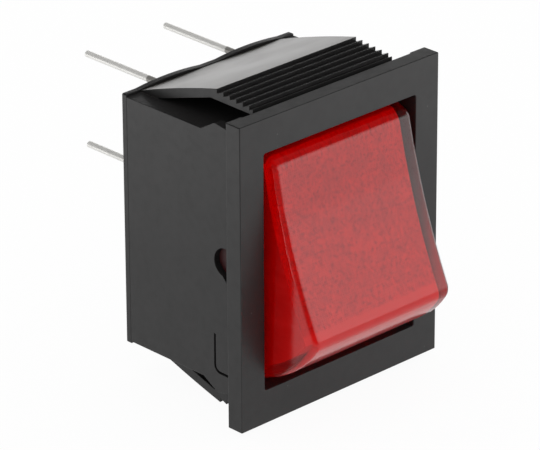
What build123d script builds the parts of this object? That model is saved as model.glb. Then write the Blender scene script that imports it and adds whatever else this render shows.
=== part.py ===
"""Illuminated two-pole panel rocker switch with snap-in arms and solder pins.

X is to the right seen from the front, Y runs from the front to the pins, Z is up.
The origin is the centre of the panel cut-out, on the rear face of the bezel.
The switch is drawn off: the upper half of the rocker is pressed in.
"""

from build123d import *
from math import cos, radians, sin, sqrt, tan
import os

# Bezel and body of the housing, in millimetres
bezel_width = 25.0
bezel_height = 30.0
bezel_thickness = 1.8
body_width = 21.1
body_height = 24.6
body_depth = 15.12
side_wall = 0.97
end_wall = 0.65
opening_corner_radius = 0.25
panel_seat_relief = 0.15

# Raised shoulders of the side walls behind the bezel
shoulder_rise = 1.05
shoulder_front_rise = 0.55
shoulder_depth = 3.5
shoulder_ramp = 1.8

# Latch line moulded in the side walls
latch_line_width = 0.22
latch_line_depth = 0.3
latch_line_rear = 3.75
latch_line_front = 0.5
latch_line_top = -7.5
latch_line_bottom = -11.25
latch_line_radius = 0.7

# Toothed snap arms, above and below the body
arm_width = 17.5
arm_root_rise = 0.15
arm_peak_depth = 5.05
arm_peak_rise = 3.31
arm_bow = 0.14
arm_thickness = 0.85
arm_front_depth = 0.43
arm_front_thickness = 0.6
tooth_count = 6
tooth_pitch = 0.83
tooth_depth = 0.43
tooth_fall = 0.087

# Base that closes the housing at the back
base_plate_thickness = 0.6
base_plate_rise = 0.22
base_plate_corner = 0.15
base_plug_depth = 1.92
base_hump_rise = 0.25
base_hump_width = 8.0
base_fit = 0.03

# Rocker, about its own pivot
pivot_depth = 2.3
pivot_radius = 1.35
pivot_clearance = 0.05
pivot_skin = 0.35
pivot_setback = 0.25
pivot_window_lead = 0.15
pivot_slit_width = 0.8
pivot_slit_drop = 0.5
rocker_tilt = 18.5
rocker_side_gap = 0.3
rocker_draft = 3.9
rocker_end_gap = 0.25
rocker_face_distance = 7.0
rocker_face_radius = 67.0
rocker_end_round = 1.3
rocker_side_bevel = 0.15
rocker_skirt = 2.2
rocker_face_thickness = 1.9
rocker_end_thickness = 1.2
rocker_side_thickness = 0.85
boss_wall = 0.7
boss_bore_floor = 0.6

# Plungers and their springs, one pair for each pole
pole_offset = 4.95
plunger_radius = 1.1
plunger_clearance = 0.05
plunger_rear = 1.0
plunger_show = 2.7
spring_wire = 0.26
spring_radius = 0.8
spring_turns = 3.0

# See-saw contact levers
lever_width = 3.0
lever_thickness = 0.5
lever_tilt = 6.0
lever_gap = 0.08
lever_trough_radius = 6.0
lever_trough_half_angle = 30.0
lever_tail = 1.0
lever_neck = 0.6
lever_top = 9.0
lever_pivot_behind_trough = 1.02
lever_knuckle_width = 1.6
lever_pin_radius = 0.35
lever_pin_clearance = 0.08

# Contacts and terminals
contact_height = 7.7
contact_radius = 1.2
contact_height_over_strip = 0.6
contact_bevel = 0.15
contact_closed_gap = 0.1
strip_thickness = 0.6
terminal_width = 2.8
cradle_rise = 1.0
cradle_ear_thickness = 0.5
cradle_ear_height = 2.4
cradle_lip = 0.35
tail_width = 1.2
tail_fit = 0.04
middle_pin_height = 2.35
upper_pin_inset = 0.77
pin_radius = 0.32
pin_neck_size = 0.44
pin_neck_length = 1.2
pin_reach = 11.1
pin_tip = 0.12
terminal_foot = 1.5

# Lamp, its holder and its wiring
bulb_radius = 2.0
bulb_nose = 1.6
bulb_tip_radius = 0.6
bulb_wall = 0.3
bulb_reach = 4.6
bulb_seat = 4.2
bulb_pinch = 1.5
bulb_clearance = 0.05
electrode_thickness = 0.25
electrode_width = 0.8
electrode_length = 5.0
lead_radius = 0.2
lead_offset = 0.9
lead_bend = 0.5
lead_stand_off = 1.3
lead_drop = 1.4
holder_wall = 0.5
holder_depth = 6.0
resistor_radius = 0.8
resistor_length = 4.0
resistor_drop = 1.6

# Places worked out from the sizes above
opening_width = body_width - 2 * side_wall
opening_height = body_height - 2 * end_wall
rocker_half_width = opening_width / 2 - rocker_side_gap
rocker_end_radius = opening_height / 2 - rocker_end_gap
plug_front = body_depth - base_plug_depth
base_rear = body_depth + base_plate_thickness
strip_front = plug_front - strip_thickness
lever_pivot = strip_front - cradle_rise
trough_front = lever_pivot - lever_pivot_behind_trough
trough_centre = trough_front - lever_trough_radius
plunger_reach = trough_front - lever_gap - pivot_depth
boss_radius = plunger_radius + plunger_clearance + boss_wall
boss_reach = plunger_reach - plunger_show
boss_floor = boss_bore_floor + rocker_face_thickness - rocker_face_distance
upper_pin_height = body_height / 2 - upper_pin_inset
upper_strip_height = opening_height / 2 - base_fit - tail_fit - strip_thickness / 2
bulb_front = pivot_depth - bulb_reach
bulb_rear = plug_front - bulb_seat
lead_depth = plug_front - lead_stand_off
lead_height = upper_pin_height - lead_drop
resistor_bottom = lead_height - resistor_drop - resistor_length


def across(outline, depth_from, depth_to):
    """Extrude an outline drawn in X and Z from one depth to another."""
    return extrude(Plane.XZ.offset(-depth_from) * outline, amount=depth_from - depth_to)


def along_x(outline, x_from, x_to):
    """Extrude an outline drawn in Y and Z from one X to another."""
    return extrude(Plane.YZ.offset(x_from) * outline, amount=x_to - x_from)


def rod_x(radius, x_from, x_to, depth, height=0.0):
    return along_x(Pos(depth, height) * Circle(radius), x_from, x_to)


def rod_y(radius, depth_from, depth_to, x=0.0, height=0.0):
    return across(Pos(x, height) * Circle(radius), depth_from, depth_to)


def area(*edges):
    return make_face(Curve() + list(edges))


def block(x_size, z_size, depth_from, depth_to, x=0.0, height=0.0):
    return across(Pos(x, height) * Rectangle(x_size, z_size), depth_from, depth_to)


def below(shape):
    return mirror(shape, about=Plane.XY)


# Housing

def arm_outline():
    """Side view of the upper arm: bowed ramp, teeth that face the panel, and the root on the body."""
    body_top = body_height / 2
    tips = [
        (arm_peak_depth - i * tooth_pitch, body_top + arm_peak_rise - i * tooth_pitch * tooth_fall)
        for i in range(tooth_count)
    ]
    root = (body_depth, body_top + arm_root_rise)
    middle = ((root[0] + tips[0][0]) / 2, (root[1] + tips[0][1]) / 2 + arm_bow)
    teeth = []
    for depth, height in tips:
        teeth += [(depth, height), (depth, height - tooth_depth)]
    front_top = tips[-1][1] - tooth_depth / 2
    front_bottom = front_top - arm_front_thickness
    slope = (tips[0][1] - root[1]) / (root[0] - tips[0][0])
    under_depth = tips[0][0] + arm_thickness
    under_height = tips[0][1] - arm_thickness - slope * arm_thickness
    foot_depth = under_depth + (under_height - body_top) / slope
    return area(
        ThreePointArc(root, middle, tips[0]),
        Polyline(
            *teeth,
            (arm_front_depth, front_top),
            (arm_front_depth, front_bottom),
            (under_depth, under_height),
            (foot_depth, body_top),
            (foot_depth, body_top - end_wall / 2),
            (body_depth, body_top - end_wall / 2),
            root,
        ),
    )


def shoulder_outline():
    """Side view of a side wall's front end, which stands higher than the box behind it."""
    wall = body_height / 2
    front, peak = wall + shoulder_front_rise, wall + shoulder_rise
    ramp_end = shoulder_depth + shoulder_ramp
    return make_face(Polyline(
        (0, -front), (shoulder_depth, -peak), (ramp_end, -wall),
        (ramp_end, wall), (shoulder_depth, peak), (0, front), (0, -front),
    ))


def latch_line():
    path = FilletPolyline(
        (latch_line_rear, latch_line_top),
        (latch_line_rear, latch_line_bottom),
        (latch_line_front, latch_line_bottom),
        radius=latch_line_radius,
    )
    return trace(path, latch_line_width)


def pivot_window():
    """Rear half of the pivot hole, open to the outside, with a slit that runs down from it."""
    hole = pivot_radius + pivot_clearance
    front = pivot_depth - pivot_window_lead
    window = Pos(pivot_depth, 0) * Circle(hole)
    window -= Pos(front - hole, 0) * Rectangle(2 * hole, 2 * hole)
    top, tip = pivot_slit_width / 2 - hole, -hole - pivot_slit_drop
    slit = make_face(Polyline((front, top), (front, tip), (front + pivot_slit_width, top), (front, top)))
    return window + slit


def make_housing():
    opening = RectangleRounded(opening_width, opening_height, opening_corner_radius)
    shell = block(bezel_width, bezel_height, -bezel_thickness, 0)
    shell += block(body_width, body_height, 0, body_depth)
    arm = along_x(arm_outline(), -arm_width / 2, arm_width / 2)
    shell += arm
    shell += below(arm)
    inner, outer = opening_width / 2, body_width / 2
    for x_from, x_to in ((-outer, -inner), (inner, outer)):
        shell += along_x(shoulder_outline(), x_from, x_to)
    shell -= across(opening, -bezel_thickness, body_depth)
    recess_end = outer - pivot_skin
    shell -= rod_x(pivot_radius + pivot_clearance, -recess_end, recess_end, pivot_depth)
    shell -= along_x(pivot_window(), -outer, outer)
    for x_from, x_to in ((-outer, latch_line_depth - outer), (outer - latch_line_depth, outer)):
        shell -= along_x(latch_line(), x_from, x_to)
    relief_top = bezel_height / 2
    relief_bottom = body_height / 2 + shoulder_front_rise
    relief = block(
        body_width, relief_top - relief_bottom, -panel_seat_relief, 0,
        height=(relief_top + relief_bottom) / 2,
    )
    shell -= relief
    shell -= below(relief)
    return shell


# Rocker and what it carries, drawn upright about its pivot and then tilted

def seated_in_rocker(shape):
    return Pos(0, pivot_depth, 0) * Rot(-rocker_tilt, 0, 0) * shape


def rocker_outline(face_distance, end_radius):
    """Side view: hollow-ground face, round ends about the pivot and a straight rim."""
    face_centre = face_distance + rocker_face_radius
    # where the face's arc meets the end's arc
    corner_depth = (face_centre**2 + end_radius**2 - rocker_face_radius**2) / (2 * face_centre)
    corner_height = sqrt(end_radius**2 - corner_depth**2)
    rim_height = sqrt(end_radius**2 - rocker_skirt**2)
    side = end_radius * cos(radians(15))
    side_depth = end_radius * sin(radians(15))
    return area(
        ThreePointArc((-corner_depth, corner_height), (-face_distance, 0), (-corner_depth, -corner_height)),
        ThreePointArc((-corner_depth, -corner_height), (-side_depth, -side), (rocker_skirt, -rim_height)),
        Line((rocker_skirt, -rim_height), (rocker_skirt, rim_height)),
        ThreePointArc((rocker_skirt, rim_height), (-side_depth, side), (-corner_depth, corner_height)),
    )


def drawn_in(half_width, depth):
    """Half width of the rocker at a depth, for a half width at its rim: the sides draw in to the face."""
    return half_width - (rocker_skirt - depth) * tan(radians(rocker_draft))


def between_sides(outline, half_width):
    """Side view of the rocker as a solid between its two drawn-in sides."""
    front = -rocker_end_radius
    at_front = drawn_in(half_width, front)
    plan = make_face(Polyline(
        (-half_width, rocker_skirt), (half_width, rocker_skirt), (at_front, front), (-at_front, front),
        (-half_width, rocker_skirt),
    ))
    upright = extrude(Plane.XY * plan, amount=rocker_end_radius, both=True)
    return along_x(outline, -half_width, half_width) & upright


def make_rocker():
    half = rocker_half_width
    outer = rocker_outline(rocker_face_distance, rocker_end_radius)
    outer = fillet(outer.vertices().sort_by(Axis.X)[:2], rocker_end_round)
    body = between_sides(outer, half)
    front_edges = []
    for edge in body.edges():
        middle = edge.center()
        on_side = abs(abs(middle.X) - drawn_in(half, middle.Y)) < 1e-3
        if on_side and middle.Y < rocker_skirt - 0.1:
            front_edges.append(edge)
    body = chamfer(front_edges, rocker_side_bevel)
    hollow = rocker_outline(
        rocker_face_distance - rocker_face_thickness, rocker_end_radius - rocker_end_thickness
    )
    body -= between_sides(hollow, half - rocker_side_thickness)
    stud_end = body_width / 2 - pivot_skin - pivot_setback
    for side in (-1, 1):
        x_from, x_to = sorted((side * (half - rocker_side_thickness / 2), side * stud_end))
        body += rod_x(pivot_radius, x_from, x_to, 0)
        boss_root = rocker_face_thickness / 2 - rocker_face_distance
        body += rod_y(boss_radius, boss_root, boss_reach, side * pole_offset)
        body -= rod_y(plunger_radius + plunger_clearance, boss_floor, boss_reach, side * pole_offset)
    return seated_in_rocker(body)


def make_plunger(x):
    """Round-nosed pin that slides in its bore in the rocker."""
    nose_centre = plunger_reach - plunger_radius
    nose = plunger_radius * sin(radians(45))
    profile = area(
        Polyline((0, plunger_rear), (plunger_radius, plunger_rear), (plunger_radius, nose_centre)),
        ThreePointArc((plunger_radius, nose_centre), (nose, nose_centre + nose), (0, plunger_reach)),
        Line((0, plunger_reach), (0, plunger_rear)),
    )
    return seated_in_rocker(Pos(x, 0, 0) * revolve(profile, Axis.Y))


def make_spring(x):
    """Coil of square wire between the floor of the bore and the plunger."""
    height = plunger_rear - boss_floor - spring_wire
    coil = Helix(height / spring_turns, height, spring_radius)
    section = Plane(coil @ 0, x_dir=(1, 0, 0), z_dir=coil % 0) * Rectangle(spring_wire, spring_wire)
    wire = sweep(section, coil, is_frenet=True)
    turned = Pos(x, boss_floor + spring_wire / 2, 0) * Rot(-90, 0, 0) * wire
    return seated_in_rocker(turned)


# Contact levers, drawn upright about their pivot and then tilted

def tilted_lever(shape):
    return Pos(0, lever_pivot, 0) * Rot(lever_tilt, 0, 0) * Pos(0, -lever_pivot, 0) * shape


def lever_arm_depths():
    """Depths of the front and rear faces of the upright contact arm."""
    angle = radians(lever_trough_half_angle)
    front = trough_centre + lever_trough_radius * cos(angle) - lever_neck * sin(angle)
    return front, front + lever_thickness


def lever_strip():
    """Side view of the strip: a trough for the plunger, a short tail and the contact arm."""
    angle = radians(lever_trough_half_angle)

    def rail(radius, arm_depth):
        end = (trough_centre + radius * cos(angle), radius * sin(angle))
        neck_length = (end[0] - arm_depth) / sin(angle)
        tail = (end[0] - lever_tail * sin(angle), -end[1] - lever_tail * cos(angle))
        neck = (arm_depth, end[1] + neck_length * cos(angle))
        return end, (trough_centre + radius, 0), tail, neck

    front_arm, rear_arm = lever_arm_depths()
    front, front_mid, front_tail, front_neck = rail(lever_trough_radius, front_arm)
    rear, rear_mid, rear_tail, rear_neck = rail(lever_trough_radius + lever_thickness, rear_arm)
    return area(
        Polyline((front_arm, lever_top), front_neck, front),
        ThreePointArc(front, front_mid, (front[0], -front[1])),
        Polyline((front[0], -front[1]), front_tail, rear_tail, (rear[0], -rear[1])),
        ThreePointArc((rear[0], -rear[1]), rear_mid, rear),
        Polyline(rear, rear_neck, (rear_arm, lever_top), (front_arm, lever_top)),
    )


def make_contact_lever(x):
    strip = along_x(lever_strip(), x - lever_width / 2, x + lever_width / 2)
    half_knuckle = lever_knuckle_width / 2
    root = trough_front + lever_thickness / 2
    knuckle = along_x(
        Pos((root + lever_pivot) / 2, 0) * Rectangle(lever_pivot - root, 2 * lever_pin_radius),
        x - half_knuckle, x + half_knuckle,
    )
    pin = rod_x(lever_pin_radius, x - lever_width / 2, x + lever_width / 2, lever_pivot)
    return tilted_lever(strip + knuckle + pin)


def contact_button(x, seat, face):
    """Round button with a bevelled rim, welded on at seat, with its contact face at face."""
    bevel = contact_bevel if face > seat else -contact_bevel
    profile = area(Polyline(
        (0, seat), (contact_radius, seat), (contact_radius, face - bevel),
        (contact_radius - contact_bevel, face), (0, face), (0, seat),
    ))
    return Pos(x, 0, contact_height) * revolve(profile, Axis.Y)


def make_moving_contact(x):
    rear = lever_arm_depths()[1]
    return tilted_lever(contact_button(x, rear, rear + contact_height_over_strip))


def make_fixed_contact(x):
    """Button on the load terminal, just clear of the moving one when the lever is over."""
    swing = radians(lever_tilt)
    behind = lever_arm_depths()[1] + contact_height_over_strip - lever_pivot
    edge_height = contact_height + contact_radius - contact_bevel
    closed = lever_pivot + behind * cos(swing) + edge_height * sin(swing)
    return contact_button(x, strip_front, closed + contact_closed_gap)


# Terminals

def shank(strip_height, pin_height):
    """Height and middle of the metal in the plate, which reaches from the strip to the pin's neck."""
    top = pin_height + pin_neck_size / 2
    bottom = strip_height - strip_thickness / 2
    return top - bottom, (top + bottom) / 2


def pin_tail(x, strip_height, pin_height):
    """Tail through the plug, shank through the plate, then a short square neck and the round solder pin."""
    neck_end = base_rear + pin_neck_length
    pin_end = base_rear + pin_reach
    tail = block(tail_width, strip_thickness, plug_front - strip_thickness / 2, body_depth, x, strip_height)
    shank_height, shank_middle = shank(strip_height, pin_height)
    tail += block(pin_neck_size, shank_height, body_depth, base_rear, x, shank_middle)
    tail += block(pin_neck_size, pin_neck_size, base_rear, neck_end, x, pin_height)
    profile = make_face(Polyline(
        (0, neck_end), (pin_radius, neck_end), (pin_radius, pin_end - pin_tip),
        (pin_radius - pin_tip, pin_end), (0, pin_end), (0, neck_end),
    ))
    return tail + Pos(x, 0, pin_height) * revolve(profile, Axis.Y)


def make_common_terminal(x):
    """Foot on the base with two upright ears, notched for the lever's pivot."""
    foot_top = middle_pin_height + strip_thickness / 2
    foot_bottom = -cradle_ear_height / 2
    piece = block(
        terminal_width, foot_top - foot_bottom, strip_front, plug_front, x, (foot_top + foot_bottom) / 2
    )
    ear_front = lever_pivot - cradle_lip
    ear_length = plug_front - ear_front
    ear = Pos(ear_front + ear_length / 2, 0) * Rectangle(ear_length, cradle_ear_height)
    notch_radius = lever_pin_radius + lever_pin_clearance
    ear -= Pos(lever_pivot, 0) * Circle(notch_radius)
    ear -= Pos(ear_front, 0) * Rectangle(2 * cradle_lip, 2 * notch_radius)
    half = terminal_width / 2
    for x_from in (x - half, x + half - cradle_ear_thickness):
        piece += along_x(ear, x_from, x_from + cradle_ear_thickness)
    return piece + pin_tail(x, middle_pin_height, middle_pin_height)


def make_load_terminal(x):
    top = upper_strip_height + strip_thickness / 2
    bottom = contact_height - terminal_foot
    piece = block(terminal_width, top - bottom, strip_front, plug_front, x, (top + bottom) / 2)
    return piece + pin_tail(x, upper_strip_height, upper_pin_height)


def make_base():
    """Plate with two humps over the upper pins, plug, lamp holder and slots for the terminals."""
    half_height = body_height / 2 + base_plate_rise
    plate = RectangleRounded(body_width, 2 * half_height, base_plate_corner)
    half_hump = base_hump_width / 2
    arc = ThreePointArc(
        (-half_hump, half_height), (0, half_height + base_hump_rise), (half_hump, half_height)
    )
    hump = area(arc, Line(arc @ 1, arc @ 0))
    for side in (-1, 1):
        plate += Pos(side * pole_offset, 0) * hump
    base = across(plate, body_depth, base_rear)
    plug_width = opening_width - 2 * base_fit
    plug_height = opening_height - 2 * base_fit
    base += across(
        RectangleRounded(plug_width, plug_height, opening_corner_radius - base_fit), plug_front, body_depth
    )
    holder_bore = bulb_radius + bulb_clearance
    holder_front = plug_front - holder_depth
    base += rod_y(holder_bore + holder_wall, holder_front, plug_front)
    base -= rod_y(holder_bore, holder_front, plug_front)
    base -= block(
        2 * (lead_offset + 2 * lead_radius), holder_bore + holder_wall, bulb_rear, plug_front,
        height=(holder_bore + holder_wall) / 2,
    )
    tail_slot = tail_width + 2 * tail_fit, strip_thickness + 2 * tail_fit
    for x in (-pole_offset, pole_offset):
        for strip_height, pin_height in (
            (middle_pin_height, middle_pin_height), (upper_strip_height, upper_pin_height)
        ):
            base -= block(*tail_slot, plug_front, body_depth, x, strip_height)
            height, middle = shank(strip_height, pin_height)
            base -= block(
                pin_neck_size + 2 * tail_fit, height + 2 * tail_fit, body_depth, base_rear, x, middle
            )
    return base


# Lamp

def make_lamp_bulb():
    """Glass envelope with a drawn nose and a solid pinch where the leads enter."""
    shoulder = bulb_front + bulb_nose
    outside = make_face(Polyline(
        (0, bulb_front), (bulb_tip_radius, bulb_front), (bulb_radius, shoulder),
        (bulb_radius, bulb_rear), (0, bulb_rear), (0, bulb_front),
    ))
    bore = bulb_radius - bulb_wall
    pinch = bulb_rear - bulb_pinch
    inside = make_face(Polyline((0, shoulder), (bore, shoulder), (bore, pinch), (0, pinch), (0, shoulder)))
    return revolve(outside - inside, Axis.Y)


def make_lamp_electrodes():
    rear = bulb_rear - bulb_pinch
    return [
        block(electrode_thickness, electrode_width, rear - electrode_length, rear, side * lead_offset)
        for side in (-1, 1)
    ]


def wire(*points):
    """Bent lead, drawn with six flats."""
    path = FilletPolyline(*points, radius=lead_bend)
    return sweep(Plane(path @ 0, z_dir=path % 0) * RegularPolygon(lead_radius, 6), path)


def to_terminal(side):
    """Last points of a lead: out to the inner edge of a load terminal and along it."""
    edge = side * (pole_offset - terminal_width / 2 - lead_radius)
    return (edge, lead_depth, lead_height), (edge, plug_front - strip_thickness / 2, lead_height)


def make_lamp_lead_left():
    return wire(
        (-lead_offset, bulb_rear, 0), (-lead_offset, lead_depth, 0),
        (-lead_offset, lead_depth, lead_height), *to_terminal(-1),
    )


def make_lamp_lead_right():
    return wire(
        (lead_offset, bulb_rear, 0), (lead_offset, lead_depth, 0), (lead_offset, lead_depth, resistor_bottom)
    )


def make_resistor():
    """Round body that stands between the two leads."""
    body = Cylinder(resistor_radius, resistor_length, align=(Align.CENTER, Align.CENTER, Align.MIN))
    return Pos(lead_offset, lead_depth, resistor_bottom) * body


def make_resistor_lead():
    return wire(
        (lead_offset, lead_depth, resistor_bottom + resistor_length),
        (lead_offset, lead_depth, lead_height), *to_terminal(1),
    )


parts = {
    "housing": make_housing(),
    "base": make_base(),
    "rocker": make_rocker(),
    "lamp_bulb": make_lamp_bulb(),
    "lamp_electrodes": Compound(children=make_lamp_electrodes()),
    "lamp_lead_left": make_lamp_lead_left(),
    "lamp_lead_right": make_lamp_lead_right(),
    "resistor": make_resistor(),
    "resistor_lead": make_resistor_lead(),
}
for name, x in (("left", -pole_offset), ("right", pole_offset)):
    parts[f"plunger_{name}"] = make_plunger(x)
    parts[f"plunger_spring_{name}"] = make_spring(x)
    parts[f"contact_lever_{name}"] = make_contact_lever(x)
    parts[f"moving_contact_{name}"] = make_moving_contact(x)
    parts[f"fixed_contact_{name}"] = make_fixed_contact(x)
    parts[f"common_terminal_{name}"] = make_common_terminal(x)
    parts[f"load_terminal_{name}"] = make_load_terminal(x)

os.makedirs("parts", exist_ok=True)
for name, shape in parts.items():
    shape.label = name
    export_step(shape, f"parts/{name}.step")
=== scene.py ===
"""Looks of the panel rocker switch: black moulding, clear red rocker, tinned pins.

The frame is in metres. Sizes below are real ones in millimetres, turned to metres where they are used.
"""

from math import cos, hypot, pi, radians, sin, sqrt, tan

import bpy
from mathutils import Matrix, Vector


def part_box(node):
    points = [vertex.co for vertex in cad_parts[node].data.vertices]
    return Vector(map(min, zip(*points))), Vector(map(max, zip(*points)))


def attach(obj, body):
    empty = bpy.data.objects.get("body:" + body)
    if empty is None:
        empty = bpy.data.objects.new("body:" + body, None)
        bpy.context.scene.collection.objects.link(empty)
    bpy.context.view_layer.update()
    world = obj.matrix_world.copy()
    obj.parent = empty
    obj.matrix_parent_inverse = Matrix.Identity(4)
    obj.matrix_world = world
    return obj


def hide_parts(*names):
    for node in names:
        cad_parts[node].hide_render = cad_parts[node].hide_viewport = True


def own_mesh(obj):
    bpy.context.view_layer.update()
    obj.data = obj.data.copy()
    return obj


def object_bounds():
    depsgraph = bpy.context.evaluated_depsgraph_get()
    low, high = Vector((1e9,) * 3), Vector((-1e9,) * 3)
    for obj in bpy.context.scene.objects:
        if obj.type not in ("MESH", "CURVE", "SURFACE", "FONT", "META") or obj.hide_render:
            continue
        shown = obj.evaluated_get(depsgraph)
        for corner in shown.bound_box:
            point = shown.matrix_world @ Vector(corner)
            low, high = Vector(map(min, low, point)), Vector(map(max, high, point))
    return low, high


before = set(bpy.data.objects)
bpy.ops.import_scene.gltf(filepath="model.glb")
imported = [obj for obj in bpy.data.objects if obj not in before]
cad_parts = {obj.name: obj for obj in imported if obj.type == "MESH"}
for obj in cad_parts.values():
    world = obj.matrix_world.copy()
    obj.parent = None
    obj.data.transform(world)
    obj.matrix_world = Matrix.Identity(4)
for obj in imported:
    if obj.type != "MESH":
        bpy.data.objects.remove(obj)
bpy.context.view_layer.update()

mm = 0.001

# Camera, at the photograph's angle
photo_width = 540
focal_length_in_pixels = 4338.2
view_azimuth = radians(-43.82)
view_elevation = radians(24.67)
view_roll = radians(-0.28)
view_distance = 393.9
view_offset_right = 5.16
view_offset_up = -1.04
sensor_width = 36.0
clip_near = 10
clip_far = 20000

# Rocker, upright about its pivot before it is tilted
pivot_depth = 2.3
rocker_tilt = radians(18.5)
rocker_half_width = 9.28
rocker_draft = radians(3.9)
rocker_end_radius = 11.4
rocker_face_distance = 7.0
rocker_face_radius = 67.0
rocker_skirt = 2.2
rocker_end_round = 1.3
rocker_side_round = 0.55
side_round_steps = 7
face_thickness = 1.9
end_thickness = 1.2
side_thickness = 0.85
stud_radius = 1.35
stud_end = 9.95
pole_offset = 4.95
boss_radius = 1.85
bore_radius = 1.15
boss_end = 5.5
bore_floor = -4.5
boss_gap = 0.01
prism_pitch = 0.25
# Distance down the face at which its inner skin turns plain, with a painted glow below it
rocker_plain_glow_edge = 7.65

# Facets around the rocker's rounds
end_facets = 240
face_facets = 900
round_facets = 120
small_facets = 48

# Where the rocker's polish fades: distances inward from its end radius and its face's side edges
end_polish_from = 0.25
end_polish_to = 0.03
side_polish_to = 0.3
face_roughness = 0.06
side_roughness = 0.15

# Light: the floor's own glow, and what shiny surfaces reflect at the horizon and above it
floor_size = 4000
floor_glow = 0.85
floor_seen_glow = 0.95
floor_near_light = 0.8
floor_far_light = 1.7
floor_near = 45.0
floor_far = 130.0
horizon_light = 1.75
ceiling_light = 0.08
horizon_top = 0.28
ceiling_edge = 0.53
horizon_drop = 0.15
drop_from, drop_to = -0.4, 0.4

# Dark side of the surroundings, at the left: its light, its edges, and its angle and reach on the floor
dark_side_light = 0.04
dark_side, light_side = -0.45, 0.15
front_left_from, front_left_to = 0.75, 1.1
dimmed_from, dimmed_to = 30, 80

# Housing's box, the peak of its snap arms and the foot of its pins, which is darkened with painted shade
body_half_height = 12.3
arm_peak_depth = 5.05
pin_foot_end = 18.2
pin_foot_fade = 0.15

# Rounding of the moulded edges
bezel_edge_round = 0.09
moulded_edge_round = 0.05
moulded_round_steps = 3
sharp_edge_angle = radians(28)

# Angles up to which a form is shaded as round
moulding_smooth_angle = radians(35)
rocker_smooth_angle = radians(32)
boss_smooth_angle = radians(30)

# Distances and angles that count as none
same_point = 0.0005
same_plane = radians(0.5)
on_bezel_edge = 0.01
on_rocker_edge = 0.002
on_rim = 0.001
wall_slack = 0.02
weld_distance = 0.03

# How squarely a face has to look along an axis
square_on = 0.9
skin_square_on = 0.7

# Refraction
nylon_ior = 1.5
polycarbonate_ior = 1.58
glass_ior = 1.5

# Colours
white = (1.0, 1.0, 1.0)
floor_white = (0.9, 0.9, 0.9)
black_dark, black_light = (0.010, 0.0095, 0.0095), (0.018, 0.017, 0.017)
dust_grey = (0.08, 0.078, 0.075)
# Ramps of the snap arms: a lighter, warmer black as painted sheen
ramp_sheen_dark, ramp_sheen_light = (0.036, 0.030, 0.026), (0.050, 0.043, 0.038)
red_tint = (0.993, 0.02, 0.02)
red_density = 2600
prism_light, prism_patch = (1.0, 0.30, 0.29), (0.86, 0.30, 0.31)
prism_streak, prism_speck = (0.58, 0.24, 0.25), (0.45, 0.20, 0.21)
# Painted glow at the lower edge of the face's inner skin, standing for light that comes through the end
# wall
prism_painted_glow = (1.0, 0.35, 0.32)
wall_dark, wall_light = (0.88, 0.12, 0.12), (0.98, 0.2, 0.2)
# Pivot studs: near-black red as painted shade, in place of the clear red moulding
stud_painted_shade = (0.045, 0.003, 0.004)
pin_dark, pin_light = (0.82, 0.81, 0.78), (0.95, 0.94, 0.91)
pin_foot_painted_shade = (0.32, 0.31, 0.29)
glass = (0.97, 0.96, 0.94)
tin = (0.74, 0.73, 0.70)
copper = (0.72, 0.45, 0.26)
silver = (0.82, 0.81, 0.78)
steel = (0.55, 0.55, 0.56)
acetal = (0.72, 0.71, 0.66)
nickel = (0.45, 0.44, 0.42)
lacquer = (0.60, 0.46, 0.30)


# Steps of modelling

def deselect():
    bpy.ops.object.select_all(action="DESELECT")


def activate(piece):
    deselect()
    piece.select_set(True)
    bpy.context.view_layer.objects.active = piece


def edit(piece):
    activate(piece)
    bpy.ops.object.mode_set(mode="EDIT")
    bpy.ops.mesh.select_mode(type="VERT")
    bpy.ops.mesh.select_all(action="DESELECT")


def leave_edit():
    bpy.ops.object.mode_set(mode="OBJECT")


def apply_place(piece):
    activate(piece)
    bpy.ops.object.transform_apply(location=True, rotation=True, scale=True)


def select_faces(piece, wanted):
    """Select the faces whose centre and normal pass the test, and leave face selection on."""
    edit(piece)
    bpy.ops.mesh.select_mode(type="FACE")
    leave_edit()
    for face in piece.data.polygons:
        face.select = wanted(face.center, face.normal)
    bpy.ops.object.mode_set(mode="EDIT")


def select_edges(piece, wanted):
    """Select the edges whose two ends pass the test, and leave edge selection on."""
    edit(piece)
    bpy.ops.mesh.select_mode(type="EDGE")
    leave_edit()
    vertices = piece.data.vertices
    for edge in piece.data.edges:
        edge.select = wanted(vertices[edge.vertices[0]].co, vertices[edge.vertices[1]].co)
    bpy.ops.object.mode_set(mode="EDIT")


def bar(name, radius, x_from, x_to, sides, depth=0.0, rise=0.0):
    """Round bar along X, in millimetres."""
    deselect()
    bpy.ops.mesh.primitive_cylinder_add(
        vertices=sides, radius=radius, depth=x_to - x_from,
        location=((x_from + x_to) / 2, depth, rise), rotation=(0, pi / 2, 0),
    )
    piece = bpy.context.object
    piece.name = name
    apply_place(piece)
    return piece


def cut_off(piece, point, outward):
    """Cut away all that lies outside a plane and close the cut."""
    edit(piece)
    bpy.ops.mesh.select_all(action="SELECT")
    bpy.ops.mesh.bisect(
        plane_co=point, plane_no=Vector(outward).normalized(), use_fill=True, clear_outer=True,
    )
    leave_edit()


def combine(piece, other, operation):
    """Cut the other shape from the piece or join it on, and remove the other."""
    modifier = piece.modifiers.new("combine", "BOOLEAN")
    modifier.operation = operation
    modifier.solver = "EXACT"
    modifier.object = other
    activate(piece)
    bpy.ops.object.modifier_apply(modifier=modifier.name)
    bpy.data.objects.remove(other)


def smooth(piece, angle):
    activate(piece)
    bpy.ops.object.shade_smooth_by_angle(angle=angle)


def keep_flats(piece):
    """Let the large faces set the shading, so that they look flat beside small rounds."""
    modifier = piece.modifiers.new("flats", "WEIGHTED_NORMAL")
    modifier.mode = "FACE_AREA"
    modifier.weight = 100
    modifier.keep_sharp = True
    activate(piece)
    bpy.ops.object.modifier_apply(modifier=modifier.name)


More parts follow.
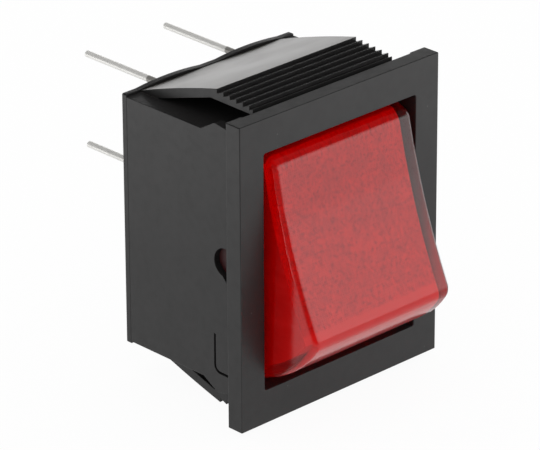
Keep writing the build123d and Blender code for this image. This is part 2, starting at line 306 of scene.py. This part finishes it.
def seat_in_rocker(piece):
    """Millimetres to metres, and the tilt about the pivot."""
    turn = Matrix.Rotation(-rocker_tilt, 4, "X")
    piece.matrix_world = Matrix.Scale(mm, 4) @ Matrix.Translation((0, pivot_depth, 0)) @ turn
    apply_place(piece)


def cad_copy(node, name):
    """A new object with the mesh of a CAD node."""
    piece = bpy.data.objects.new(name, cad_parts[node].data.copy())
    bpy.context.scene.collection.objects.link(piece)
    return piece


def paint(mesh, *finishes):
    mesh.materials.clear()
    for finish in finishes:
        mesh.materials.append(finish)


# Materials

class Nodes:
    """Short calls for the nodes of one tree."""

    def __init__(self, tree):
        self.nodes = tree.nodes
        self.links = tree.links

    def put(self, socket, value):
        """Link an output to the socket, or write a colour or a number into it."""
        if isinstance(value, tuple):
            socket.default_value = (*value, 1)
        elif isinstance(value, (int, float)):
            socket.default_value = value
        else:
            self.links.new(value, socket)

    def math(self, operation, *values, clamp=False):
        node = self.nodes.new("ShaderNodeMath")
        node.operation = operation
        node.use_clamp = clamp
        for socket, value in zip(node.inputs, values):
            self.put(socket, value)
        return node.outputs["Value"]

    def times(self, first, second):
        return self.math("MULTIPLY", first, second)

    def length(self, first, second):
        """Length of the vector that has these two parts."""
        squares = self.math("ADD", self.times(first, first), self.times(second, second))
        return self.math("SQRT", squares)

    def span(self, value, low, high, new_low=0.0, new_high=1.0, step="LINEAR"):
        """Map low..high to new_low..new_high, and hold the value beyond them."""
        node = self.nodes.new("ShaderNodeMapRange")
        node.interpolation_type = step
        limits = {"From Min": low, "From Max": high, "To Min": new_low, "To Max": new_high}
        for socket, number in limits.items():
            node.inputs[socket].default_value = number
        self.links.new(value, node.inputs["Value"])
        return node.outputs["Result"]

    def split(self, vector):
        node = self.nodes.new("ShaderNodeSeparateXYZ")
        self.links.new(vector, node.inputs["Vector"])
        return node.outputs


class Finish(Nodes):
    """A material made of nodes that read Object coordinates in millimetres."""

    def __init__(self, name):
        self.material = bpy.data.materials.new(name)
        self.material.use_nodes = True
        super().__init__(self.material.node_tree)
        self.shader = self.nodes["Principled BSDF"]
        self.output = self.nodes["Material Output"]
        place = self.nodes.new("ShaderNodeTexCoord").outputs["Object"]
        self.place = self.mapped(place, (1 / mm,) * 3)

    def mapped(self, vector, scale, turn=(0, 0, 0)):
        node = self.nodes.new("ShaderNodeMapping")
        node.inputs["Scale"].default_value = scale
        node.inputs["Rotation"].default_value = turn
        self.links.new(vector, node.inputs["Vector"])
        return node.outputs["Vector"]

    def set(self, **values):
        """Give the shader's sockets a colour, a number or an output."""
        for socket, value in values.items():
            self.put(self.shader.inputs[socket.replace("_", " ")], value)

    def noise(self, scale, detail, place=None, roughness=0.5):
        """Scale is in features to a millimetre."""
        node = self.nodes.new("ShaderNodeTexNoise")
        node.inputs["Scale"].default_value = scale
        node.inputs["Detail"].default_value = detail
        node.inputs["Roughness"].default_value = roughness
        self.links.new(place or self.place, node.inputs["Vector"])
        return node.outputs["Fac"]

    def mix(self, share, first, second):
        node = self.nodes.new("ShaderNodeMix")
        node.data_type = "RGBA"
        factor, first_colour, second_colour = (node.inputs[i] for i in (0, 6, 7))
        self.put(factor, share)
        self.put(first_colour, first)
        self.put(second_colour, second)
        return node.outputs[2]

    def bump(self, height, strength, distance):
        """Distance is in millimetres."""
        node = self.nodes.new("ShaderNodeBump")
        node.inputs["Strength"].default_value = strength
        node.inputs["Distance"].default_value = distance * mm
        self.links.new(height, node.inputs["Height"])
        return node.outputs["Normal"]


def moulded_black():
    """Semi-matt black nylon with a fine grain and a few pale specks of dust."""
    finish = Finish("moulded_black")
    shade = finish.mix(finish.noise(scale=0.35, detail=4), black_dark, black_light)
    cells = finish.nodes.new("ShaderNodeTexVoronoi")
    cells.inputs["Scale"].default_value = 0.9
    finish.links.new(finish.place, cells.inputs["Vector"])
    at_centre = finish.span(cells.outputs["Distance"], 0.03, 0.08, 1, 0)
    chosen = finish.span(finish.split(cells.outputs["Color"])[0], 0.86, 0.88)
    finish.set(
        Base_Color=finish.mix(finish.times(at_centre, chosen), shade, dust_grey),
        IOR=nylon_ior,
        Roughness=finish.span(finish.noise(scale=1.3, detail=3), 0.3, 0.7, 0.36, 0.46),
        Normal=finish.bump(finish.noise(scale=9, detail=2), strength=0.35, distance=0.006),
    )
    return finish.material


def ramp_sheen_black():
    """The same nylon, smoother, on the ramps of the snap arms, in a lighter and warmer colour with cloudy
    streaks that paints their sheen.
    """
    finish = Finish("ramp_sheen_black")
    along = finish.mapped(finish.place, (0.5, 1.0, 1.0))
    streaks = finish.noise(scale=0.3, detail=2, place=along)
    finish.set(
        Base_Color=finish.mix(streaks, ramp_sheen_dark, ramp_sheen_light),
        IOR=nylon_ior,
        Roughness=finish.span(streaks, 0.3, 0.7, 0.29, 0.35),
        Normal=finish.bump(finish.noise(scale=5, detail=2), strength=0.1, distance=0.004),
    )
    return finish.material


def clear_red():
    """Clear red polycarbonate of the rocker, less polished at its sides and ends than on its face."""
    finish = Finish("clear_red")
    x, y, z = finish.split(finish.place)
    reach = finish.length(finish.math("SUBTRACT", y, pivot_depth), z)
    ends = finish.span(reach, rocker_end_radius - end_polish_from, rocker_end_radius - end_polish_to)
    face_edge = side_at(-rocker_face_distance)
    sides = finish.span(
        finish.math("ABSOLUTE", x), face_edge - rocker_side_round, face_edge - side_polish_to
    )
    dull = finish.math("MAXIMUM", ends, sides)
    finish.set(
        Base_Color=white, IOR=polycarbonate_ior, Transmission_Weight=1.0,
        Roughness=finish.span(dull, 0, 1, face_roughness, side_roughness),
    )
    tint = finish.nodes.new("ShaderNodeVolumeAbsorption")
    finish.put(tint.inputs["Color"], red_tint)
    tint.inputs["Density"].default_value = red_density
    finish.links.new(tint.outputs["Volume"], finish.output.inputs["Volume"])
    return finish.material


def prism_red():
    """Inner skin of the rocker's face: rows of tiny prisms with soft patches, streaks and specks, and a
    plain band at its lower edge painted with a bright glow.
    """
    finish = Finish("prism_red")
    level = finish.mapped(finish.place, (1, 1, 1), (rocker_tilt, 0, 0))
    x, _, z = finish.split(level)
    across, up = (finish.math("PINGPONG", value, prism_pitch / 2) for value in (x, z))
    prisms = finish.math("MINIMUM", across, up)
    patches = finish.noise(scale=0.35, detail=4, place=level, roughness=0.65)
    narrow = finish.mapped(level, (1.9, 1.0, 0.8))
    streaks = finish.span(finish.noise(scale=1.6, detail=4, place=narrow, roughness=0.75), 0.42, 0.70)
    specks = finish.span(finish.noise(scale=3.2, detail=3, place=level, roughness=0.8), 0.50, 0.66)
    shade = finish.mix(finish.span(patches, 0.38, 0.62), prism_light, prism_patch)
    shade = finish.mix(finish.times(streaks, 0.45), shade, prism_streak)
    shade = finish.mix(finish.times(specks, 0.6), shade, prism_speck)
    # Plain band at the lower edge: no prisms, and a painted glow standing for light that comes through the
    # end wall
    edge_at = pivot_depth * sin(rocker_tilt) - rocker_plain_glow_edge
    edge = finish.span(z, edge_at - 0.2, edge_at + 0.2, 1, 0)
    depth = finish.times(prisms, finish.span(streaks, 0, 1, 0.3, 1.7))
    depth = finish.times(depth, finish.math("SUBTRACT", 1, edge))
    finish.set(
        Base_Color=finish.mix(edge, shade, prism_painted_glow),
        Roughness=0.5,
        Normal=finish.bump(depth, strength=0.2, distance=1.0),
    )
    return finish.material


def smooth_red():
    """Inner skin of the rocker's side and end walls, smooth with faint flow lines."""
    finish = Finish("smooth_red")
    along = finish.mapped(finish.place, (1.0, 0.25, 1.0))
    flow = finish.span(finish.noise(scale=0.6, detail=3, place=along), 0.3, 0.7)
    finish.set(Base_Color=finish.mix(flow, wall_dark, wall_light), Roughness=0.4)
    return finish.material


def plain(name, colour, roughness, metallic=0.0, grain=0.0):
    """A finish with a faint cloud in its colour, and a fine grain where it is given."""
    finish = Finish(name)
    darker = tuple(0.82 * channel for channel in colour)
    worn = finish.noise(scale=2.5, detail=3)
    finish.set(
        Base_Color=finish.mix(finish.noise(scale=0.8, detail=3), darker, colour),
        Metallic=metallic,
        Roughness=finish.span(worn, 0.3, 0.7, roughness * 0.85, roughness * 1.15),
    )
    if grain:
        finish.set(Normal=finish.bump(finish.noise(scale=7, detail=2), strength=grain, distance=0.01))
    return finish.material


def pin_metal():
    """Dull tinned copper, with painted shade at the foot of each pin where it leaves the base."""
    finish = Finish("tinned_copper")
    cloud = finish.noise(scale=1.2, detail=3)
    depth = finish.split(finish.place)[1]
    # Painted shade: the pin turns dark over its last part before the base
    foot = finish.span(depth, pin_foot_end, pin_foot_end + pin_foot_fade, 1, 0)
    finish.set(
        Base_Color=finish.mix(foot, finish.mix(cloud, pin_dark, pin_light), pin_foot_painted_shade),
        Metallic=0.5,
        Roughness=finish.span(cloud, 0.3, 0.7, 0.38, 0.48),
        Normal=finish.bump(finish.noise(scale=6, detail=2), strength=0.3, distance=0.01),
    )
    return finish.material


def lamp_glass():
    finish = Finish("lamp_glass")
    finish.set(Base_Color=glass, Roughness=0.03, IOR=glass_ior, Transmission_Weight=1.0)
    return finish.material


# Housing and base

def moulding(node, name, body, finish, ramp_finish=None):
    """The CAD form of a moulding with its edges rounded, in the place of that node."""
    piece = cad_copy(node, name)
    edit(piece)
    bpy.ops.mesh.select_all(action="SELECT")
    bpy.ops.mesh.customdata_custom_splitnormals_clear()
    bpy.ops.mesh.remove_doubles(threshold=same_point * mm)
    bpy.ops.mesh.dissolve_limited(angle_limit=same_plane)
    leave_edit()
    weigh_edges(piece)
    bevel = piece.modifiers.new("rounding", "BEVEL")
    bevel.limit_method = "WEIGHT"
    bevel.width = bezel_edge_round * mm
    bevel.segments = moulded_round_steps
    bevel.use_clamp_overlap = False
    activate(piece)
    bpy.ops.object.modifier_apply(modifier=bevel.name)
    paint(piece.data, finish)
    if ramp_finish:
        piece.data.materials.append(ramp_finish)
        for face in piece.data.polygons:
            face.material_index = int(on_ramp(face.center, face.normal))
    smooth(piece, moulding_smooth_angle)
    keep_flats(piece)
    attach(piece, body)
    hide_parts(node)


def on_ramp(centre, normal):
    """Whether a face of the housing is the outer side of a snap arm behind its peak."""
    on_arm = abs(centre.z) > body_half_height * mm and centre.y > arm_peak_depth * mm
    return on_arm and abs(normal.z) > square_on and normal.z * centre.z > 0


def weigh_edges(piece):
    """Give each sharp edge its share of the rounding: the bezel's corners most, all others little."""
    low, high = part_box("housing")
    slack = on_bezel_edge * mm
    mesh = piece.data
    weights = mesh.attributes.new("bevel_weight_edge", "FLOAT", "EDGE")
    normals = {}
    for face in mesh.polygons:
        for key in face.edge_keys:
            normals.setdefault(key, []).append(face.normal)
    for edge in mesh.edges:
        beside = normals.get(tuple(sorted(edge.vertices)), [])
        if len(beside) != 2 or beside[0].angle(beside[1]) < sharp_edge_angle:
            continue
        ends = [mesh.vertices[i].co for i in edge.vertices]
        on_bezel = all(
            end.y < slack and (min(end.x - low.x, high.x - end.x) < slack or abs(end.y - low.y) < slack)
            for end in ends
        )
        weights.data[edge.index].value = 1.0 if on_bezel else moulded_edge_round / bezel_edge_round


# Rocker

def side_at(depth):
    """Half width of the rocker at a depth: its sides draw in from the rim to the face."""
    return rocker_half_width - (rocker_skirt - depth) * tan(rocker_draft)


def rocker_slice(name, half_width, face_distance, end_radius, rim):
    """A bar about the pivot, cut flat behind, drawn in at its sides and hollowed in front."""
    piece = bar(name, end_radius, -half_width - 1, half_width + 1, end_facets)
    cut_off(piece, (0, rim, 0), (0, 1, 0))
    for side in (-1, 1):
        outward = (side * cos(rocker_draft), -sin(rocker_draft), 0)
        cut_off(piece, (side * half_width, rocker_skirt, 0), outward)
    face_centre = -face_distance - rocker_face_radius
    cutter = bar(
        "face_cutter", rocker_face_radius, -2 * half_width, 2 * half_width, face_facets, face_centre
    )
    combine(piece, cutter, "DIFFERENCE")
    return piece


def round_ends(cap):
    """Large rounds along the face's two ends: a wedge about each round's axis, less a bar, is cut off."""
    face_centre = rocker_face_distance + rocker_face_radius
    to_face_centre = rocker_face_radius + rocker_end_round
    to_pivot = rocker_end_radius - rocker_end_round
    depth = (to_face_centre**2 - to_pivot**2 - face_centre**2) / (2 * face_centre)
    rise = sqrt(to_pivot**2 - depth**2)
    reach = 2 * rocker_half_width
    for end in (-1, 1):
        axis = (0, depth, end * rise)
        deselect()
        bpy.ops.mesh.primitive_cube_add(size=4 * rocker_end_round, location=axis)
        wedge = bpy.context.object
        wedge.scale.x = reach / rocker_end_round
        apply_place(wedge)
        cut_off(wedge, axis, (0, rise, -end * (face_centre + depth)))
        cut_off(wedge, axis, (0, rise, -end * depth))
        core = bar("core", rocker_end_round, -reach, reach, round_facets, depth, end * rise)
        combine(wedge, core, "DIFFERENCE")
        combine(cap, wedge, "DIFFERENCE")
    edit(cap)
    bpy.ops.mesh.select_all(action="SELECT")
    bpy.ops.mesh.remove_doubles(threshold=weld_distance)
    leave_edit()


def round_sides(cap):
    """A small round along the front of both sides."""
    def on_side(point):
        return abs(abs(point.x) - side_at(point.y)) < on_rocker_edge

    select_edges(cap, lambda a, b: (
        on_side(a) and on_side(b) and a.x * b.x > 0 and min(a.y, b.y) < rocker_skirt - on_rim
    ))
    bpy.ops.mesh.bevel(
        offset=rocker_side_round, segments=side_round_steps, profile=0.5, affect="EDGES",
        clamp_overlap=False,
    )
    leave_edit()


def rocker_cap(outer, face_skin, wall_skin, stud_skin):
    """Clear shell of the rocker with its two pivot studs, which are painted dark red as shade."""
    cap = rocker_slice(
        "rocker_cap", rocker_half_width, rocker_face_distance, rocker_end_radius, rocker_skirt
    )
    round_ends(cap)
    round_sides(cap)
    hollow = rocker_slice(
        "hollow", rocker_half_width - side_thickness, rocker_face_distance - face_thickness,
        rocker_end_radius - end_thickness, rocker_skirt + 1,
    )
    combine(cap, hollow, "DIFFERENCE")
    for side in (-1, 1):
        x_from, x_to = sorted((side * (rocker_half_width - side_thickness / 2), side * stud_end))
        combine(cap, bar("stud", stud_radius, x_from, x_to, small_facets), "UNION")
    paint(cap.data, outer, face_skin, wall_skin, stud_skin)
    hollow_centre = rocker_face_distance - face_thickness + rocker_face_radius
    for face in cap.data.polygons:
        x, y, z = face.center
        inside = (
            abs(x) < side_at(y) - side_thickness + wall_slack
            and hypot(y, z) < rocker_end_radius - end_thickness + wall_slack
            and hypot(y + hollow_centre, z) > rocker_face_radius - wall_slack
        )
        if inside:
            face.material_index = 1 if face.normal.y > skin_square_on else 2
        else:
            face.material_index = 3 if abs(x) > side_at(y) + wall_slack else 0
    smooth(cap, rocker_smooth_angle)
    keep_flats(cap)
    seat_in_rocker(cap)
    return cap


def rocker_boss(name, x, finish):
    """Tube behind the face that holds a spring and its plunger."""
    start = boss_gap + face_thickness - rocker_face_distance
    deselect()
    bpy.ops.mesh.primitive_cylinder_add(
        vertices=small_facets, radius=boss_radius, depth=boss_end - start,
        location=(x, (start + boss_end) / 2, 0), rotation=(pi / 2, 0, 0),
    )
    boss = bpy.context.object
    boss.name = name
    apply_place(boss)
    select_faces(boss, lambda centre, normal: normal.y > square_on)
    bpy.ops.mesh.inset(thickness=boss_radius - bore_radius)
    bpy.ops.mesh.extrude_region_move(TRANSFORM_OT_translate={"value": (0, bore_floor - boss_end, 0)})
    leave_edit()
    paint(boss.data, finish)
    smooth(boss, boss_smooth_angle)
    seat_in_rocker(boss)
    return boss


def make_rocker():
    walls = smooth_red()
    # The studs get painted shade: an opaque near-black red
    studs = plain("painted_shade_red", stud_painted_shade, 0.5)
    pieces = [rocker_cap(clear_red(), prism_red(), walls, studs)]
    for side, name in ((-1, "rocker_boss_left"), (1, "rocker_boss_right")):
        pieces.append(rocker_boss(name, side * pole_offset, walls))
    for piece in pieces:
        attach(piece, "rocker")
        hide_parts("rocker")


# Inner pieces

def make_springs(finish):
    """The CAD springs again, as pieces carried with the rocker."""
    for side, name in ((-1, "left"), (1, "right")):
        node = "plunger_spring_" + name
        spring = cad_copy(node, "coil_spring_" + name)
        paint(spring.data, finish)
        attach(spring, "rocker")
        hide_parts(node)
        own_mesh(spring)


def dress(finish, *starts):
    """Give a finish to every CAD node whose name starts with one of these words."""
    for name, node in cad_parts.items():
        if name.startswith(starts):
            paint(node.data, finish)


# Floor, light and camera

def make_floor():
    """Pale floor with a glow of its own, brighter far away and dim at the front left in reflections."""
    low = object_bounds()[0]
    deselect()
    bpy.ops.mesh.primitive_plane_add(size=floor_size * mm, location=(0, 0, low[2]))
    floor = bpy.context.object
    floor.name = "floor"
    finish = Finish("pale_floor")
    finish.set(Base_Color=floor_white, Roughness=0.8)
    path = finish.nodes.new("ShaderNodeLightPath").outputs
    x, y, _ = finish.split(finish.place)
    reach = finish.length(x, y)
    pool = finish.span(reach, floor_near, floor_far, floor_near_light, floor_far_light)
    front_left = finish.math("DIVIDE", finish.math("ADD", x, y), finish.times(reach, -1))
    dimmed = finish.times(
        finish.span(front_left, front_left_from, front_left_to), finish.span(reach, dimmed_from, dimmed_to)
    )
    pool = finish.times(pool, finish.span(dimmed, 0, 1, 1, dark_side_light))
    not_through_glass = finish.math("SUBTRACT", 1, path["Is Transmission Ray"])
    in_gloss = finish.times(path["Is Glossy Ray"], not_through_glass)
    extra = finish.times(in_gloss, finish.math("SUBTRACT", pool, 1))
    glow = finish.nodes.new("ShaderNodeEmission")
    finish.put(glow.inputs["Strength"], finish.math("ADD", extra, 1))
    seen = finish.math("ADD", path["Is Camera Ray"], path["Is Glossy Ray"])
    seen = finish.math("ADD", seen, path["Is Transmission Ray"])
    share = finish.span(path["Is Camera Ray"], 0, 1, floor_glow, floor_seen_glow)
    share = finish.times(finish.math("MINIMUM", seen, 1), share)
    blend = finish.nodes.new("ShaderNodeMixShader")
    for socket, value in zip(blend.inputs, (share, finish.shader.outputs[0], glow.outputs[0])):
        finish.put(socket, value)
    finish.put(finish.output.inputs["Surface"], blend.outputs[0])
    paint(floor.data, finish.material)
    apply_place(floor)


def make_light():
    """Even white light, and for reflections a bright horizon under a dark ceiling.

    The horizon is lower behind the part and dark at the left.
    """
    world = bpy.data.worlds.new("studio")
    bpy.context.scene.world = world
    world.use_nodes = True
    sky = Nodes(world.node_tree)
    x, y, z = sky.split(sky.nodes.new("ShaderNodeTexCoord").outputs["Generated"])
    lift = sky.span(y, drop_from, drop_to, 0.0, horizon_drop, step="SMOOTHSTEP")
    height = sky.math("ADD", z, lift)
    band = sky.span(height, horizon_top, ceiling_edge, horizon_light, ceiling_light, step="SMOOTHSTEP")
    side = sky.span(x, dark_side, light_side, dark_side_light, 1.0, step="SMOOTHSTEP")
    path = sky.nodes.new("ShaderNodeLightPath").outputs
    strength = sky.nodes.new("ShaderNodeMix")
    reflected = sky.math("SUBTRACT", path["Is Glossy Ray"], path["Is Transmission Ray"], clamp=True)
    for socket, value in (("Factor", reflected), ("A", 1.0), ("B", sky.times(band, side))):
        sky.put(strength.inputs[socket], value)
    background = sky.nodes["Background"]
    sky.put(background.inputs["Color"], white)
    sky.put(background.inputs["Strength"], strength.outputs["Result"])


def make_camera():
    back = Vector((
        sin(view_azimuth) * cos(view_elevation),
        -cos(view_azimuth) * cos(view_elevation),
        sin(view_elevation),
    ))
    level = Vector((cos(view_azimuth), sin(view_azimuth), 0))
    right = Matrix.Rotation(view_roll, 3, back) @ level
    up = back.cross(right)
    camera = bpy.data.objects.new("camera", bpy.data.cameras.new("camera"))
    bpy.context.scene.collection.objects.link(camera)
    camera.data.sensor_fit = "HORIZONTAL"
    camera.data.sensor_width = sensor_width
    camera.data.lens = sensor_width * focal_length_in_pixels / photo_width
    camera.data.clip_start = clip_near * mm
    camera.data.clip_end = clip_far * mm
    place = (view_distance * back - view_offset_right * right - view_offset_up * up) * mm
    camera.matrix_world = Matrix.Translation(place) @ Matrix((right, up, back)).transposed().to_4x4()
    bpy.context.scene.camera = camera


scene = bpy.context.scene
scene.view_settings.view_transform = "Standard"

black = moulded_black()
moulding("housing", "housing_moulding", "housing", black, ramp_sheen_black())
moulding("base", "base_moulding", "housing", black)
make_rocker()
dress(pin_metal(), "common_terminal", "load_terminal")
dress(plain("copper_strip", copper, 0.32, metallic=1.0), "contact_lever")
dress(plain("silver_contact", silver, 0.28, metallic=1.0), "moving_contact", "fixed_contact")
make_springs(plain("spring_wire", steel, 0.3, metallic=1.0))
dress(plain("acetal", acetal, 0.45, grain=0.2), "plunger_left", "plunger_right")
dress(plain("nickel", nickel, 0.4, metallic=1.0), "lamp_electrodes")
dress(lamp_glass(), "lamp_bulb")
dress(plain("resistor_lacquer", lacquer, 0.5, grain=0.2), "resistor")
dress(plain("tinned_wire", tin, 0.3, metallic=1.0), "lamp_lead", "resistor_lead")
make_floor()
make_light()
make_camera()
